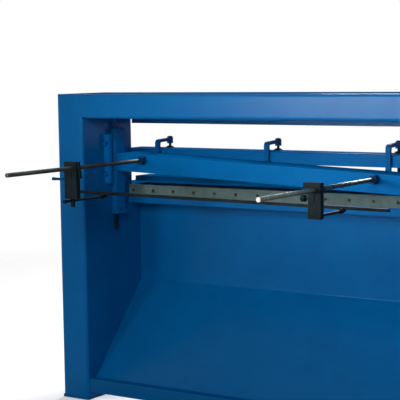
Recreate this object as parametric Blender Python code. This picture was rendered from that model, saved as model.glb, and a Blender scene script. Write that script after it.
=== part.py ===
# Manual guillotine shear: welded rear portal and side housings, a raked ram that slides
# down on two guides, a sprung hold-down hung from hooked straps, and a rod back gauge.
# Metres, +Z up, the operator stands on the -Y side, the gauge rods stand out on the +Y side.
# "left" and "right" are the operator's own, so right is +X.

import math

import bmesh
import bpy
from mathutils import Vector

# Clearances between neighbouring pieces.
SEAT = 0.0003
SLIDE_GAP = 0.0005
BORE_GAP = 0.0005
BLADE_GAP = 0.0005
RUN_GAP = 0.006

# Frame: overall sizes, folded sheet and the housings' side outline.
WIDTH = 1.622
TABLE_HEIGHT = 0.850
WINDOW_HEIGHT = 0.284
POST_WIDTH = 0.128
NECK_DEPTH = 0.320
SHOULDER_DEPTH = 0.560
SHIN_DEPTH = 0.440
APRON_HEIGHT = 0.120
KNEE_HEIGHT = 0.560
INSTEP_HEIGHT = 0.150
TOE_HEIGHT = 0.070
SHEET = 0.005
BEND = 0.012
CORNER_STEPS = 5
BEAM_HEIGHT = 0.096
BEAM_FLANGE = 0.040
VISOR_HEIGHT = 0.127
VISOR_END_GAP = 0.009
FOOT_PLATE = 0.012
FOOT_LENGTH = 0.110
FOOT_BOLT_RADIUS = 0.009

# Table, its cross beam and the lower blade.
CUT_DEPTH = 0.297
TABLE_PLATE = 0.020
TABLE_REACH = 0.080
TABLE_OVERHANG = 0.020
SLOT_WIDTH = 0.014
SLOT_DEPTH = 0.009
SLOT_INSET = 0.194
LOWER_BLADE_HEIGHT = 0.0435
BLADE_THICKNESS = 0.020
BLADE_END_GAP = 0.003
LEDGE_HEIGHT = 0.032
LEDGE_SETBACK = 0.002
LEDGE_WALL = 0.030
CROSS_FLANGE = 0.012
CROSS_DEPTH = 0.090
APRON_DEPTH = 0.010
APRON_DROP = 0.085

# Folded back panel and offcut chute.
PANEL_DEPTH = 0.376
PANEL_SHEET = 0.003
PANEL_DROP = 0.404
TIE_REAR_INSET = 0.011
CHUTE_LIP = 0.040
PANEL_BEND = 0.010
TIE_SIZE = 0.050
TIE_WALL = 0.004
TIE_INSET = 0.018
TIE_FLOOR_GAP = 0.020

# Treadle.
TREADLE_FRONT = 0.730
TREADLE_HEIGHT = 0.180
TREADLE_BAR = 0.044
TREADLE_ARM_WIDTH = 0.014
TREADLE_ARM_DEPTH = 0.050
TREADLE_PIVOT_DEPTH = 0.300
TREADLE_PIVOT_RADIUS = 0.014
TREADLE_SLOT_SIDE = 0.012

# Ram: a raked channel between the slides, lowest at the operator's left.
STROKE = 0.066
BLADE_BITE = 0.005
RAKE_ANGLE = math.radians(2.3)
RAM_HEIGHT = 0.070
RAM_DEPTH = 0.182
RAM_PLATE = 0.010
RAM_END_GAP = 0.005
CARRIER_PLATE = 0.0147
CARRIER_HEIGHT = 0.062
UPPER_BLADE_HEIGHT = 0.056
BLADE_DROP = 0.006

# Slides and the guides on the walls.
SLIDE_WIDTH = 0.025
SLIDE_DEPTH = 0.058
SLIDE_HEADROOM = 0.047
SLIDE_TAIL = 0.111
SLIDE_FOOT = 0.016
SLIDE_FOOT_WIDTH = 0.032
SLIDE_ROD_RADIUS = 0.0075
SLIDE_ROD_HEADROOM = 0.038
STOP_BOLT_RADIUS = 0.008
STOP_BOLT_INSET = 0.010
STOP_BOLT_LENGTH = 0.062
GUIDE_HEADROOM = 0.069
GUIDE_RISE = 0.016
GIB_BODY = 0.019
GIB_LIP = 0.008
GIB_FRONT_DEPTH = 0.155
GUIDE_BAR_DEPTH = 0.022
GIB_BOLT_RADIUS = 0.005
GIB_BOLT_LENGTH = 0.016
GIB_BOLT_INSET = 0.038

# Front bar, hooked straps, hold-down.
LEG_THICKNESS = 0.012
STRAP_WIDTH = 0.020
STRAP_BEND = 0.017
STRAP_INSET = 0.164
STRAP_OFFSET = 0.028
HUB_RADIUS = 0.013
HUB_RISE = 0.041
HUB_HEIGHT = 0.024
HUB_REACH = 0.082
HOOK_RISE = 0.004
HOOK_SINK = 0.001
PLUNGER_RADIUS = 0.006
NUT_WIDTH = 0.019
NUT_HEIGHT = 0.005
PLUNGER_TIP = 0.001
FRONT_BAR_RISE = 0.150
FRONT_BAR_HEIGHT = 0.049
FRONT_BAR_DEPTH = 0.100
FRONT_BAR_SHEET = 0.006
FRONT_BAR_END = 0.016
BUSH_HEIGHT = 0.004
BUSH_RADIUS = 0.013
BUSH_TOP_RADIUS = 0.009
THINNEST_SHEET = 0.001
HOLD_DOWN_TRAVEL = 0.012
HOLD_DOWN_THICKNESS = 0.021
HOLD_DOWN_DEPTH = 0.100
HOLD_DOWN_END_GAP = 0.011

# Back gauge.
ROD_INSET = 0.169
ROD_OFFSET = 0.009
ROD_RADIUS = 0.008
ROD_DROP = 0.020
ROD_REACH = 0.629
ROD_NUT_WIDTH = 0.030
ROD_NUT_HEIGHT = 0.024
CLAMP_DEPTH = 0.250
CLAMP_THICKNESS = 0.022
CLAMP_WIDTH = 0.048
CLAMP_HEAD = 0.024
CLAMP_FLARE = 0.010
CLAMP_TOE = 0.014
CLAMP_LIFT = 0.002
CLAMP_SLIT = 0.0025
CLAMP_CAP = 0.018
CLAMP_CAP_HEIGHT = 0.017
HANGER_RADIUS = 0.009
HANGER_TIP = 0.029
LATCH_LENGTH = 0.062
LATCH_SPREAD = 0.015
LATCH_DEPTH = 0.012
LATCH_THICKNESS = 0.005
LOCK_DROPS = {"left": 0.030, "right": 0.043}
LOCK_SCREW_RADIUS = 0.004
LOCK_SCREW_LENGTH = 0.014
LOCK_KNOB_RADIUS = 0.012
LOCK_KNOB_LENGTH = 0.016
LOCK_SPIKE_START = 0.029
LOCK_SPIKE_RADIUS = 0.0065
LOCK_SPIKE_TIP_RADIUS = 0.004
LOCK_SPIKE_LENGTH = 0.039
GAUGE_RISE = 0.005
GAUGE_HEIGHT = 0.011
GAUGE_TILT = 0.008
GAUGE_DEPTH = 0.022
GAUGE_SHEET = 0.004
GAUGE_BEND = 0.006
GAUGE_END_GAP = 0.006
GAUGE_REAR = 0.075
ARM_RADIUS = 0.005
ARM_HEAD_RADIUS = 0.009
ARM_HEAD_LENGTH = 0.014
ARM_NUT_RADIUS = 0.0075
ARM_NUT_LENGTH = 0.012
ARM_TAIL = 0.028

# Sizes that follow from the ones above.
HALF = WIDTH / 2
WALL_X = HALF - POST_WIDTH
REAR_Y = (TREADLE_FRONT - ROD_REACH) / 2
POST_TOP = TABLE_HEIGHT + WINDOW_HEIGHT
HEIGHT = POST_TOP + BEAM_HEIGHT
TABLE_DEPTH = SHOULDER_DEPTH + TABLE_REACH
SLOT_X = WALL_X - SLOT_INSET
CHUTE_CREASE = TABLE_HEIGHT - PANEL_DROP
RAM_TOP = TABLE_HEIGHT + STROKE - BLADE_BITE + RAM_HEIGHT + BLADE_DROP
RAKE = math.tan(RAKE_ANGLE)
SLIDE_TOP = POST_TOP - SLIDE_HEADROOM
SLIDE_BOTTOM = TABLE_HEIGHT - SLIDE_TAIL
SLIDE_ROD_LENGTH = HEIGHT - SHEET - SLIDE_ROD_HEADROOM - SLIDE_TOP
GUIDE_TOP = POST_TOP - GUIDE_HEADROOM
GUIDE_BOTTOM = TABLE_HEIGHT + GUIDE_RISE
FRONT_BAR_TOP = TABLE_HEIGHT + FRONT_BAR_RISE
HUB_TOP = FRONT_BAR_TOP + HUB_RISE
STRAP_PITCH = WALL_X - STRAP_INSET
ROD_PITCH = WALL_X - ROD_INSET
GAUGE_TOP = TABLE_HEIGHT + GAUGE_RISE
BLADE_BACK = CUT_DEPTH - BLADE_GAP
CARRIER_FRONT = BLADE_BACK - BLADE_THICKNESS - SEAT
RAM_BODY_X = WALL_X - SLIDE_WIDTH - RUN_GAP
RAM_END_X = WALL_X - RAM_END_GAP
FRONT_BAR_REAR = NECK_DEPTH + RUN_GAP
LEG_FRONT = FRONT_BAR_REAR - SEAT
NOSE_DEPTH = LEG_FRONT - LEG_THICKNESS - SEAT
HOLD_DOWN_REAR = LEG_FRONT + RUN_GAP
HUB_DEPTH = LEG_FRONT + HUB_REACH
HOLD_DOWN_GAP = HOLD_DOWN_TRAVEL + THINNEST_SHEET
HOLD_DOWN_TOP = TABLE_HEIGHT + HOLD_DOWN_GAP + HOLD_DOWN_THICKNESS
GIB_REAR_DEPTH = GIB_FRONT_DEPTH - GIB_BODY
GUIDE_BAR_REAR = RAM_DEPTH + SLIDE_DEPTH + SLIDE_GAP
SHOULDER_TOP = TABLE_HEIGHT - TABLE_PLATE - SEAT
STRAP_XS = {"right": STRAP_OFFSET + STRAP_PITCH, "centre": STRAP_OFFSET, "left": STRAP_OFFSET - STRAP_PITCH}
ROD_XS = {"left": ROD_OFFSET - ROD_PITCH, "right": ROD_OFFSET + ROD_PITCH}
SIDES = {"left": -1, "right": 1}

PAINT = ((0.012, 0.088, 0.230), 0.38, 0.0)
DEEP_PAINT = ((0.010, 0.070, 0.190), 0.42, 0.0)
BLADE_STEEL = ((0.23, 0.25, 0.23), 0.42, 0.9)
BRIGHT_STEEL = ((0.55, 0.54, 0.50), 0.28, 1.0)
BLACK_OXIDE = ((0.020, 0.028, 0.030), 0.45, 0.6)


def depth(value):
    return REAR_Y - value


def ram_top(x):
    return RAM_TOP - RAKE * (RAM_END_X - x)


def gauge_bottom(x):
    return GAUGE_TOP - GAUGE_HEIGHT - GAUGE_TILT * (ROD_XS["right"] - x)


def clear_scene():
    for item in list(bpy.data.objects):
        bpy.data.objects.remove(item)


def material(name, finish):
    colour, roughness, metallic = finish
    made = bpy.data.materials.new(name)
    made.use_nodes = True
    shader = made.node_tree.nodes["Principled BSDF"]
    shader.inputs["Base Color"].default_value = (*colour, 1.0)
    shader.inputs["Roughness"].default_value = roughness
    shader.inputs["Metallic"].default_value = metallic
    made.diffuse_color = (*colour, 1.0)
    return made


def raw_object(name, mesh_data):
    mesh = bpy.data.meshes.new(name)
    mesh_data.to_mesh(mesh)
    mesh_data.free()
    made = bpy.data.objects.new(name, mesh)
    bpy.context.collection.objects.link(made)
    return made


# A closed solid between two outlines that have the same number of points.
def loft(name, first, second):
    shape = bmesh.new()
    ring_a = [shape.verts.new(point) for point in first]
    ring_b = [shape.verts.new(point) for point in second]
    count = len(ring_a)
    shape.faces.new(ring_a)
    shape.faces.new(ring_b[::-1])
    for i in range(count):
        j = (i + 1) % count
        shape.faces.new((ring_a[j], ring_a[i], ring_b[i], ring_b[j]))
    bmesh.ops.recalc_face_normals(shape, faces=shape.faces)
    return raw_object(name, shape)


# An outline of (depth, height) points pushed along X, dropped by the rake where one is given.
def prism_x(name, outline, x0, x1, rake=0.0, rake_x=0.0):
    ends = []
    for x in (x0, x1):
        drop = rake * (rake_x - x)
        ends.append([(x, depth(d), z - drop) for d, z in outline])
    return loft(name, *ends)


# An outline of (x, depth) points pushed along Z.
def prism_z(name, outline, z0, z1):
    return loft(name, *[[(x, depth(d), z) for x, d in outline] for z in (z0, z1)])


def box(name, x0, x1, d0, d1, z0, z1):
    return prism_z(name, [(x0, d0), (x1, d0), (x1, d1), (x0, d1)], z0, z1)


# A turned solid: (radius, distance) pairs round an axis line, each station a ring.
def turned(name, start, direction, stations, sides=24, phase=0.0):
    along = Vector(direction).normalized()
    side = along.orthogonal().normalized()
    other = along.cross(side)
    shape = bmesh.new()
    rings = []
    for radius, distance in stations:
        centre = Vector(start) + along * distance
        ring = []
        for i in range(sides):
            angle = phase + 2 * math.pi * i / sides
            ring.append(shape.verts.new(centre + radius * (math.cos(angle) * side + math.sin(angle) * other)))
        rings.append(ring)
    shape.faces.new(rings[0][::-1])
    shape.faces.new(rings[-1])
    for low, high in zip(rings, rings[1:]):
        for i in range(sides):
            j = (i + 1) % sides
            shape.faces.new((low[i], low[j], high[j], high[i]))
    bmesh.ops.recalc_face_normals(shape, faces=shape.faces)
    return raw_object(name, shape)


def cylinder(name, start, direction, radius, length, sides=24):
    return turned(name, start, direction, [(radius, 0.0), (radius, length)], sides)


def hexagon(name, start, direction, width, length):
    return cylinder(name, start, direction, width / math.sqrt(3), length, 6)


# Joins or cuts the first solid with the second and keeps the result as plain mesh.
def combine(base, tool, operation):
    modifier = base.modifiers.new(operation.lower(), "BOOLEAN")
    modifier.operation = operation
    modifier.object = tool
    modifier.solver = "EXACT"
    depsgraph = bpy.context.evaluated_depsgraph_get()
    result = bpy.data.meshes.new_from_object(base.evaluated_get(depsgraph))
    base.modifiers.clear()
    base.data = result
    bpy.data.objects.remove(tool)
    return base


def join(base, *tools):
    for tool in tools:
        combine(base, tool, "UNION")
    return base


def cut(base, *tools):
    for tool in tools:
        combine(base, tool, "DIFFERENCE")
    return base


# The section of a folded sheet: the path is one face of the sheet, the sheet lies on the
# given side of it (1 left, -1 right), and every fold has the same outer radius.
def folded(path, thickness, radius, side, steps=4):
    points = [Vector(point) for point in path]
    near = [points[0]]
    first = (points[1] - points[0]).normalized()
    far = [points[0] + side * thickness * Vector((-first.y, first.x))]
    for before, corner, after in zip(points, points[1:], points[2:]):
        into = (corner - before).normalized()
        out = (after - corner).normalized()
        turn = math.atan2(into.x * out.y - into.y * out.x, into.dot(out))
        inward = turn * side > 0
        bend = radius if inward else radius - thickness
        other = bend - thickness if inward else radius
        swing = 1 if turn > 0 else -1
        normal = swing * Vector((-into.y, into.x))
        centre = corner - into * bend * math.tan(abs(turn) / 2) + normal * bend
        for i in range(steps + 1):
            angle = turn * i / steps
            spoke = -normal.copy()
            rotated = Vector((spoke.x * math.cos(angle) - spoke.y * math.sin(angle),
                              spoke.x * math.sin(angle) + spoke.y * math.cos(angle)))
            near.append(centre + rotated * bend)
            far.append(centre + rotated * other)
    last = (points[-1] - points[-2]).normalized()
    near.append(points[-1])
    far.append(points[-1] + side * thickness * Vector((-last.y, last.x)))
    return [tuple(point) for point in near + far[::-1]]


# An outline moved inwards by a wall thickness; the points run anticlockwise.
def inset(outline, wall):
    moved = []
    count = len(outline)
    for i in range(count):
        before, corner, after = (Vector(outline[(i + k) % count]) for k in (-1, 0, 1))
        into = (corner - before).normalized()
        out = (after - corner).normalized()
        normal_in = Vector((-into.y, into.x))
        normal_out = Vector((-out.y, out.x))
        bisector = (normal_in + normal_out).normalized()
        moved.append(tuple(corner + bisector * wall / bisector.dot(normal_in)))
    return moved


def finish(made, finish_values, origin=(0, 0, 0), parent=None):
    anchor = Vector(origin)
    for vertex in made.data.vertices:
        vertex.co -= anchor
    made.data.materials.clear()
    made.data.materials.append(material(made.name, finish_values))
    made.data.shade_smooth()
    made.data.set_sharp_from_angle(angle=math.radians(35))
    made.location = anchor - (parent.location if parent else Vector((0, 0, 0)))
    made.parent = parent
    return made


def empty(name, location):
    made = bpy.data.objects.new(name, None)
    made.location = location
    bpy.context.collection.objects.link(made)
    return made


# Side housings: hollow folded boxes, open underneath, with the treadle's slot in front.
def housing_outline():
    return [
        (0.0, FOOT_PLATE + SEAT),
        (SHOULDER_DEPTH, FOOT_PLATE + SEAT),
        (SHOULDER_DEPTH, TOE_HEIGHT),
        (SHIN_DEPTH, INSTEP_HEIGHT),
        (SHIN_DEPTH, KNEE_HEIGHT),
        (SHOULDER_DEPTH, SHOULDER_TOP - APRON_HEIGHT),
        (SHOULDER_DEPTH, SHOULDER_TOP),
        (NECK_DEPTH, SHOULDER_TOP),
        (NECK_DEPTH, POST_TOP - SEAT),
        (0.0, POST_TOP - SEAT),
    ]


def round_rear_corners(made, start, radius):
    shape = bmesh.new()
    shape.from_mesh(made.data)
    rear = [edge for edge in shape.edges
            if all(abs(vertex.co.y - depth(start)) < SEAT for vertex in edge.verts)
            and abs(edge.verts[0].co.z - edge.verts[1].co.z) > BEAM_HEIGHT]
    bmesh.ops.bevel(shape, geom=rear, offset=radius, segments=CORNER_STEPS, profile=0.5, affect="EDGES")
    shape.to_mesh(made.data)
    shape.free()
    return made


def side_housing(side, sign):
    inner, outer = sorted((sign * WALL_X, sign * HALF))
    made = prism_x(f"side_housing_{side}", housing_outline(), inner, outer)
    round_rear_corners(made, 0, BEND)
    floor = housing_outline()[0][1] + 2 * SHEET
    hollow = [(d, z if z > floor else -FOOT_PLATE) for d, z in inset(housing_outline(), SHEET)]
    hollow = prism_x("hollow", hollow, inner + SHEET, outer - SHEET)
    cut(made, round_rear_corners(hollow, SHEET, BEND - SHEET))
    middle = sign * (WALL_X + POST_WIDTH / 2)
    reach = TREADLE_ARM_WIDTH / 2 + TREADLE_SLOT_SIDE
    low = INSTEP_HEIGHT + SHEET
    high = TREADLE_HEIGHT + TREADLE_ARM_DEPTH / 2 + TREADLE_SLOT_SIDE
    slot = box("slot", middle - reach, middle + reach, SHIN_DEPTH - 2 * SHEET, SHIN_DEPTH + SHEET, low, high)
    cut(made, slot)
    finish(made, PAINT, (sign * HALF, depth(0), 0))


def foot_plates():
    for side, sign in SIDES.items():
        for place, start in (("rear", 0.0), ("front", SHOULDER_DEPTH - FOOT_LENGTH)):
            inner, outer = sorted((sign * WALL_X, sign * HALF))
            end = start + FOOT_LENGTH
            made = box(f"foot_plate_{side}_{place}", inner, outer, start, end, 0.0, FOOT_PLATE)
            centre = (sign * (WALL_X + POST_WIDTH / 2), depth(start + FOOT_LENGTH / 2), -FOOT_PLATE)
            cut(made, cylinder("hole", centre, (0, 0, 1), FOOT_BOLT_RADIUS, 3 * FOOT_PLATE, 20))
            finish(made, DEEP_PAINT, (centre[0], centre[1], 0.0))


# Top beam: one folded sheet over both housings, with a deeper visor on the operator's side.
def top_beam():
    path = [
        (BEAM_FLANGE, POST_TOP),
        (0.0, POST_TOP),
        (0.0, HEIGHT),
        (NECK_DEPTH, HEIGHT),
        (NECK_DEPTH, HEIGHT - VISOR_HEIGHT),
    ]
    made = prism_x("top_beam", folded(path, SHEET, BEND, -1), -HALF, HALF)
    cap = [(BEND, POST_TOP), (NECK_DEPTH, POST_TOP), (NECK_DEPTH, HEIGHT - BEND), (NECK_DEPTH - BEND, HEIGHT),
           (BEND, HEIGHT), (0.0, HEIGHT - BEND), (0.0, POST_TOP + BEND)]
    cap = [(min(max(d, SHEET / 2), NECK_DEPTH - SHEET / 2), min(z, HEIGHT - SHEET / 2)) for d, z in cap]
    join(made, prism_x("cap", cap, -HALF, -HALF + SHEET), prism_x("cap", cap, HALF - SHEET, HALF))
    for sign in (-1, 1):
        inner, outer = sorted((sign * (WALL_X - VISOR_END_GAP), sign * (HALF + SHEET)))
        near, far = NECK_DEPTH - 3 * SHEET, NECK_DEPTH + SHEET
        cut(made, box("notch", inner, outer, near, far, POST_TOP - POST_WIDTH, POST_TOP))
        inner, outer = sorted((sign * WALL_X, sign * HALF))
        join(made, box("corner", inner, outer, 0, BEND, POST_TOP, POST_TOP + BEND))
        turns = [i * math.pi / 2 / CORNER_STEPS for i in range(CORNER_STEPS + 1)]
        arc = [(sign * (HALF - BEND + BEND * math.sin(a)), BEND - BEND * math.cos(a)) for a in turns]
        end = sign * (HALF + SHEET)
        cove = arc + [(end, BEND), (end, -SHEET), (arc[0][0], -SHEET)]
        cut(made, prism_z("cove", cove, POST_TOP - SHEET, HEIGHT + SHEET))
    finish(made, PAINT, (0, depth(0), POST_TOP))


# Table: plate with two side-gauge slots, cross beam with the blade's ledge, apron.
def table():
    rear = CUT_DEPTH + BLADE_THICKNESS + SEAT
    neck = WALL_X - SEAT
    wing = WALL_X + POST_WIDTH - TABLE_OVERHANG
    shelf = NECK_DEPTH + SEAT
    outline = [(-neck, rear), (neck, rear), (neck, shelf), (wing, shelf), (wing, TABLE_DEPTH),
               (-wing, TABLE_DEPTH), (-wing, shelf), (-neck, shelf)]
    made = prism_z("table_top", outline, TABLE_HEIGHT - TABLE_PLATE, TABLE_HEIGHT)
    for x in (-SLOT_X, SLOT_X):
        half = SLOT_WIDTH / 2
        groove = box("groove", x - half, x + half, NECK_DEPTH + POST_WIDTH, TABLE_DEPTH + SEAT,
                     TABLE_HEIGHT - SLOT_DEPTH, TABLE_HEIGHT + SLOT_DEPTH)
        cut(made, groove)
    finish(made, DEEP_PAINT, (0, depth(rear), TABLE_HEIGHT))


def cross_beam():
    ledge_top = TABLE_HEIGHT - LOWER_BLADE_HEIGHT - SEAT
    ledge_bottom = ledge_top - LEDGE_HEIGHT
    seat = CUT_DEPTH + BLADE_THICKNESS + SEAT
    top = TABLE_HEIGHT - TABLE_PLATE - SEAT
    face = CUT_DEPTH + LEDGE_SETBACK
    wall = face + LEDGE_WALL
    front = seat + CROSS_DEPTH
    outline = [(face, ledge_bottom), (wall, ledge_bottom), (wall, top - CROSS_FLANGE),
               (front, top - CROSS_FLANGE), (front, top), (seat, top), (seat, ledge_top), (face, ledge_top)]
    made = prism_x("cross_beam", outline, -WALL_X + SEAT, WALL_X - SEAT)
    finish(made, PAINT, (0, depth(face), ledge_top))


def table_apron():
    top = TABLE_HEIGHT - TABLE_PLATE - SEAT
    front = TABLE_DEPTH - APRON_DEPTH
    wing = WALL_X + POST_WIDTH - TABLE_OVERHANG
    path = [(front - APRON_DROP / 2, top), (front, top), (front, top - APRON_DROP)]
    made = prism_x("table_apron", folded(path, SHEET, BEND, -1), -wing, wing)
    finish(made, PAINT, (0, depth(front), top))


def lower_blade():
    half = WALL_X - BLADE_END_GAP
    made = box("lower_blade", -half, half, CUT_DEPTH, CUT_DEPTH + BLADE_THICKNESS,
               TABLE_HEIGHT - LOWER_BLADE_HEIGHT, TABLE_HEIGHT)
    finish(made, BLADE_STEEL, (0, depth(CUT_DEPTH), TABLE_HEIGHT))


# Back panel and chute: one sheet folded back towards the rear, its lip on the rear tie.
def chute():
    top = TABLE_HEIGHT - TABLE_PLATE - CROSS_FLANGE - 2 * SEAT
    tie_top = FOOT_PLATE + TIE_FLOOR_GAP + TIE_SIZE + SEAT
    heel = TIE_REAR_INSET + CHUTE_LIP
    path = [(PANEL_DEPTH, top), (PANEL_DEPTH, CHUTE_CREASE), (heel, tie_top + PANEL_SHEET),
            (heel - CHUTE_LIP, tie_top + PANEL_SHEET)]
    made = prism_x("chute", folded(path, PANEL_SHEET, PANEL_BEND, 1), -WALL_X + SEAT, WALL_X - SEAT)
    finish(made, PAINT, (0, depth(PANEL_DEPTH), CHUTE_CREASE))


def base_ties():
    low = FOOT_PLATE + TIE_FLOOR_GAP
    high = low + TIE_SIZE
    front = SHIN_DEPTH - TIE_INSET - TIE_SIZE
    for name, start in (("base_tie_rear", TIE_REAR_INSET), ("base_tie_front", front)):
        made = box(name, -WALL_X + SEAT, WALL_X - SEAT, start, start + TIE_SIZE, low, high)
        tunnel = box("tunnel", -WALL_X - SHEET, WALL_X + SHEET, start + TIE_WALL, start + TIE_SIZE - TIE_WALL,
                     low + TIE_WALL, high - TIE_WALL)
        cut(made, tunnel)
        finish(made, DEEP_PAINT, (0, depth(start), low))


# Treadle: two flat arms on pivots inside the housings and a foot bar in front.
def treadle():
    arm_front = TREADLE_FRONT - TREADLE_BAR - SEAT
    for side, sign in SIDES.items():
        middle = sign * (WALL_X + POST_WIDTH / 2)
        half = TREADLE_ARM_WIDTH / 2
        top = TREADLE_HEIGHT + TREADLE_ARM_DEPTH / 2
        low = TREADLE_HEIGHT - TREADLE_ARM_DEPTH / 2
        tail = TREADLE_PIVOT_DEPTH - TREADLE_ARM_DEPTH / 2
        outline = [(tail, low + BEND), (tail + BEND, low), (arm_front, low + BEND), (arm_front, top - BEND),
                   (tail + BEND, top), (tail, top - BEND)]
        made = prism_x(f"treadle_arm_{side}", outline, middle - half, middle + half)
        pin_half = POST_WIDTH / 2 - SHEET - SEAT
        start = (middle - pin_half, depth(TREADLE_PIVOT_DEPTH), TREADLE_HEIGHT)
        join(made, cylinder("pin", start, (1, 0, 0), TREADLE_PIVOT_RADIUS, 2 * pin_half))
        finish(made, DEEP_PAINT, (middle, depth(TREADLE_PIVOT_DEPTH), TREADLE_HEIGHT))
    outer = WALL_X + POST_WIDTH / 2 + TREADLE_ARM_DEPTH / 2
    low = TREADLE_HEIGHT - TREADLE_BAR / 2
    high = low + TREADLE_BAR
    rear = arm_front + SEAT
    bar = box("treadle_bar", -outer, outer, rear, TREADLE_FRONT, low, high)
    tunnel = box("tunnel", -outer - SHEET, outer + SHEET, rear + TIE_WALL, TREADLE_FRONT - TIE_WALL,
                 low + TIE_WALL, high - TIE_WALL)
    cut(bar, tunnel)
    finish(bar, PAINT, (0, depth(TREADLE_FRONT), TREADLE_HEIGHT))


# Guides on the housing walls: a stepped gib with two set bolts behind each slide, and a bar before it.
def guides():
    for side, sign in SIDES.items():
        wall = sign * (WALL_X - SEAT)
        proud = sign * (WALL_X - SLIDE_WIDTH)
        lip = sign * (WALL_X - GIB_LIP)
        outline = [(wall, GIB_REAR_DEPTH), (proud, GIB_REAR_DEPTH), (proud, GIB_FRONT_DEPTH),
                   (lip, GIB_FRONT_DEPTH), (lip, RAM_DEPTH - SLIDE_GAP), (wall, RAM_DEPTH - SLIDE_GAP)]
        made = prism_z(f"gib_{side}", outline, GUIDE_BOTTOM, GUIDE_TOP)
        middle = sign * (WALL_X - SLIDE_WIDTH / 2)
        for z in (GUIDE_TOP - GIB_BOLT_INSET, GUIDE_BOTTOM + GIB_BOLT_INSET):
            start = (middle, depth(GIB_REAR_DEPTH + SHEET), z)
            join(made, cylinder("bolt", start, (0, 1, 0), GIB_BOLT_RADIUS, GIB_BOLT_LENGTH + SHEET, 12))
        finish(made, PAINT, (wall, depth(GIB_REAR_DEPTH), GUIDE_BOTTOM))
        low, high = sorted((wall, proud))
        bar = box(f"guide_bar_{side}", low, high, GUIDE_BAR_REAR, GUIDE_BAR_REAR + GUIDE_BAR_DEPTH,
                  GUIDE_BOTTOM, GUIDE_TOP)
        finish(bar, PAINT, (wall, depth(GUIDE_BAR_REAR), GUIDE_BOTTOM))


# Ram: rear plate from wall to wall, top web with a nose over the lower blade, blade carrier.
def ram_beam(body):
    rise = RAM_TOP
    plate = [(RAM_DEPTH, rise - RAM_HEIGHT), (RAM_DEPTH + RAM_PLATE, rise - RAM_HEIGHT),
             (RAM_DEPTH + RAM_PLATE, rise), (RAM_DEPTH, rise)]
    made = prism_x("ram_beam", plate, -RAM_END_X, RAM_END_X, RAKE, RAM_END_X)
    inner = CARRIER_FRONT - CARRIER_PLATE
    lap = RAM_DEPTH + RAM_PLATE / 2
    section = [(lap, rise - RAM_PLATE), (inner, rise - RAM_PLATE), (inner, rise - CARRIER_HEIGHT),
               (CARRIER_FRONT, rise - CARRIER_HEIGHT), (CARRIER_FRONT, rise - RAM_PLATE),
               (NOSE_DEPTH, rise - RAM_PLATE), (NOSE_DEPTH, rise), (lap, rise)]
    join(made, prism_x("channel", section, -RAM_BODY_X, RAM_BODY_X, RAKE, RAM_END_X))
    finish(made, PAINT, body.location, body)


def upper_blade(body):
    low = RAM_TOP - RAM_HEIGHT - BLADE_DROP
    outline = [(BLADE_BACK - BLADE_THICKNESS, low), (BLADE_BACK, low), (BLADE_BACK, low + UPPER_BLADE_HEIGHT),
               (BLADE_BACK - BLADE_THICKNESS, low + UPPER_BLADE_HEIGHT)]
    made = prism_x("upper_blade", outline, -RAM_END_X, RAM_END_X, RAKE, RAM_END_X)
    finish(made, BLADE_STEEL, (0, depth(BLADE_BACK), ram_top(0)), body)


# Slides: bars let in flush round the ram's rear plate, a rod above, a foot and stop bolt below.
def slides(body):
    for side, sign in SIDES.items():
        outer = sign * (WALL_X - SLIDE_GAP)
        inner = sign * (WALL_X - SLIDE_WIDTH)
        low, high = sorted((outer, inner))
        made = box(f"slide_{side}", low, high, RAM_DEPTH, RAM_DEPTH + SLIDE_DEPTH, SLIDE_BOTTOM, SLIDE_TOP)
        toe = sign * (WALL_X - SLIDE_FOOT_WIDTH)
        low, high = sorted((outer, toe))
        front = RAM_DEPTH + SLIDE_DEPTH
        join(made, box("foot", low, high, RAM_DEPTH, front, SLIDE_BOTTOM, SLIDE_BOTTOM + SLIDE_FOOT))
        rise = RAM_TOP + SEAT
        drop = RAM_TOP - RAM_HEIGHT - SEAT
        pocket = [(RAM_DEPTH - SHEET, drop), (RAM_DEPTH + RAM_PLATE + SEAT, drop),
                  (RAM_DEPTH + RAM_PLATE + SEAT, rise), (RAM_DEPTH - SHEET, rise)]
        cut(made, prism_x("pocket", pocket, -HALF, HALF, RAKE, RAM_END_X))
        middle = sign * (WALL_X - SLIDE_WIDTH / 2)
        rod = (middle, depth(RAM_DEPTH + SLIDE_WIDTH / 2), SLIDE_TOP - SHEET)
        join(made, cylinder("rod", rod, (0, 0, 1), SLIDE_ROD_RADIUS, SLIDE_ROD_LENGTH + SHEET, 16))
        finish(made, PAINT, (middle, depth(RAM_DEPTH), SLIDE_BOTTOM), body)
        bolt = (middle, depth(RAM_DEPTH + STOP_BOLT_INSET), SLIDE_BOTTOM - SEAT)
        stop = cylinder(f"stop_bolt_{side}", bolt, (0, 0, -1), STOP_BOLT_RADIUS, STOP_BOLT_LENGTH, 16)
        finish(stop, BLACK_OXIDE, bolt, body)


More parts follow.
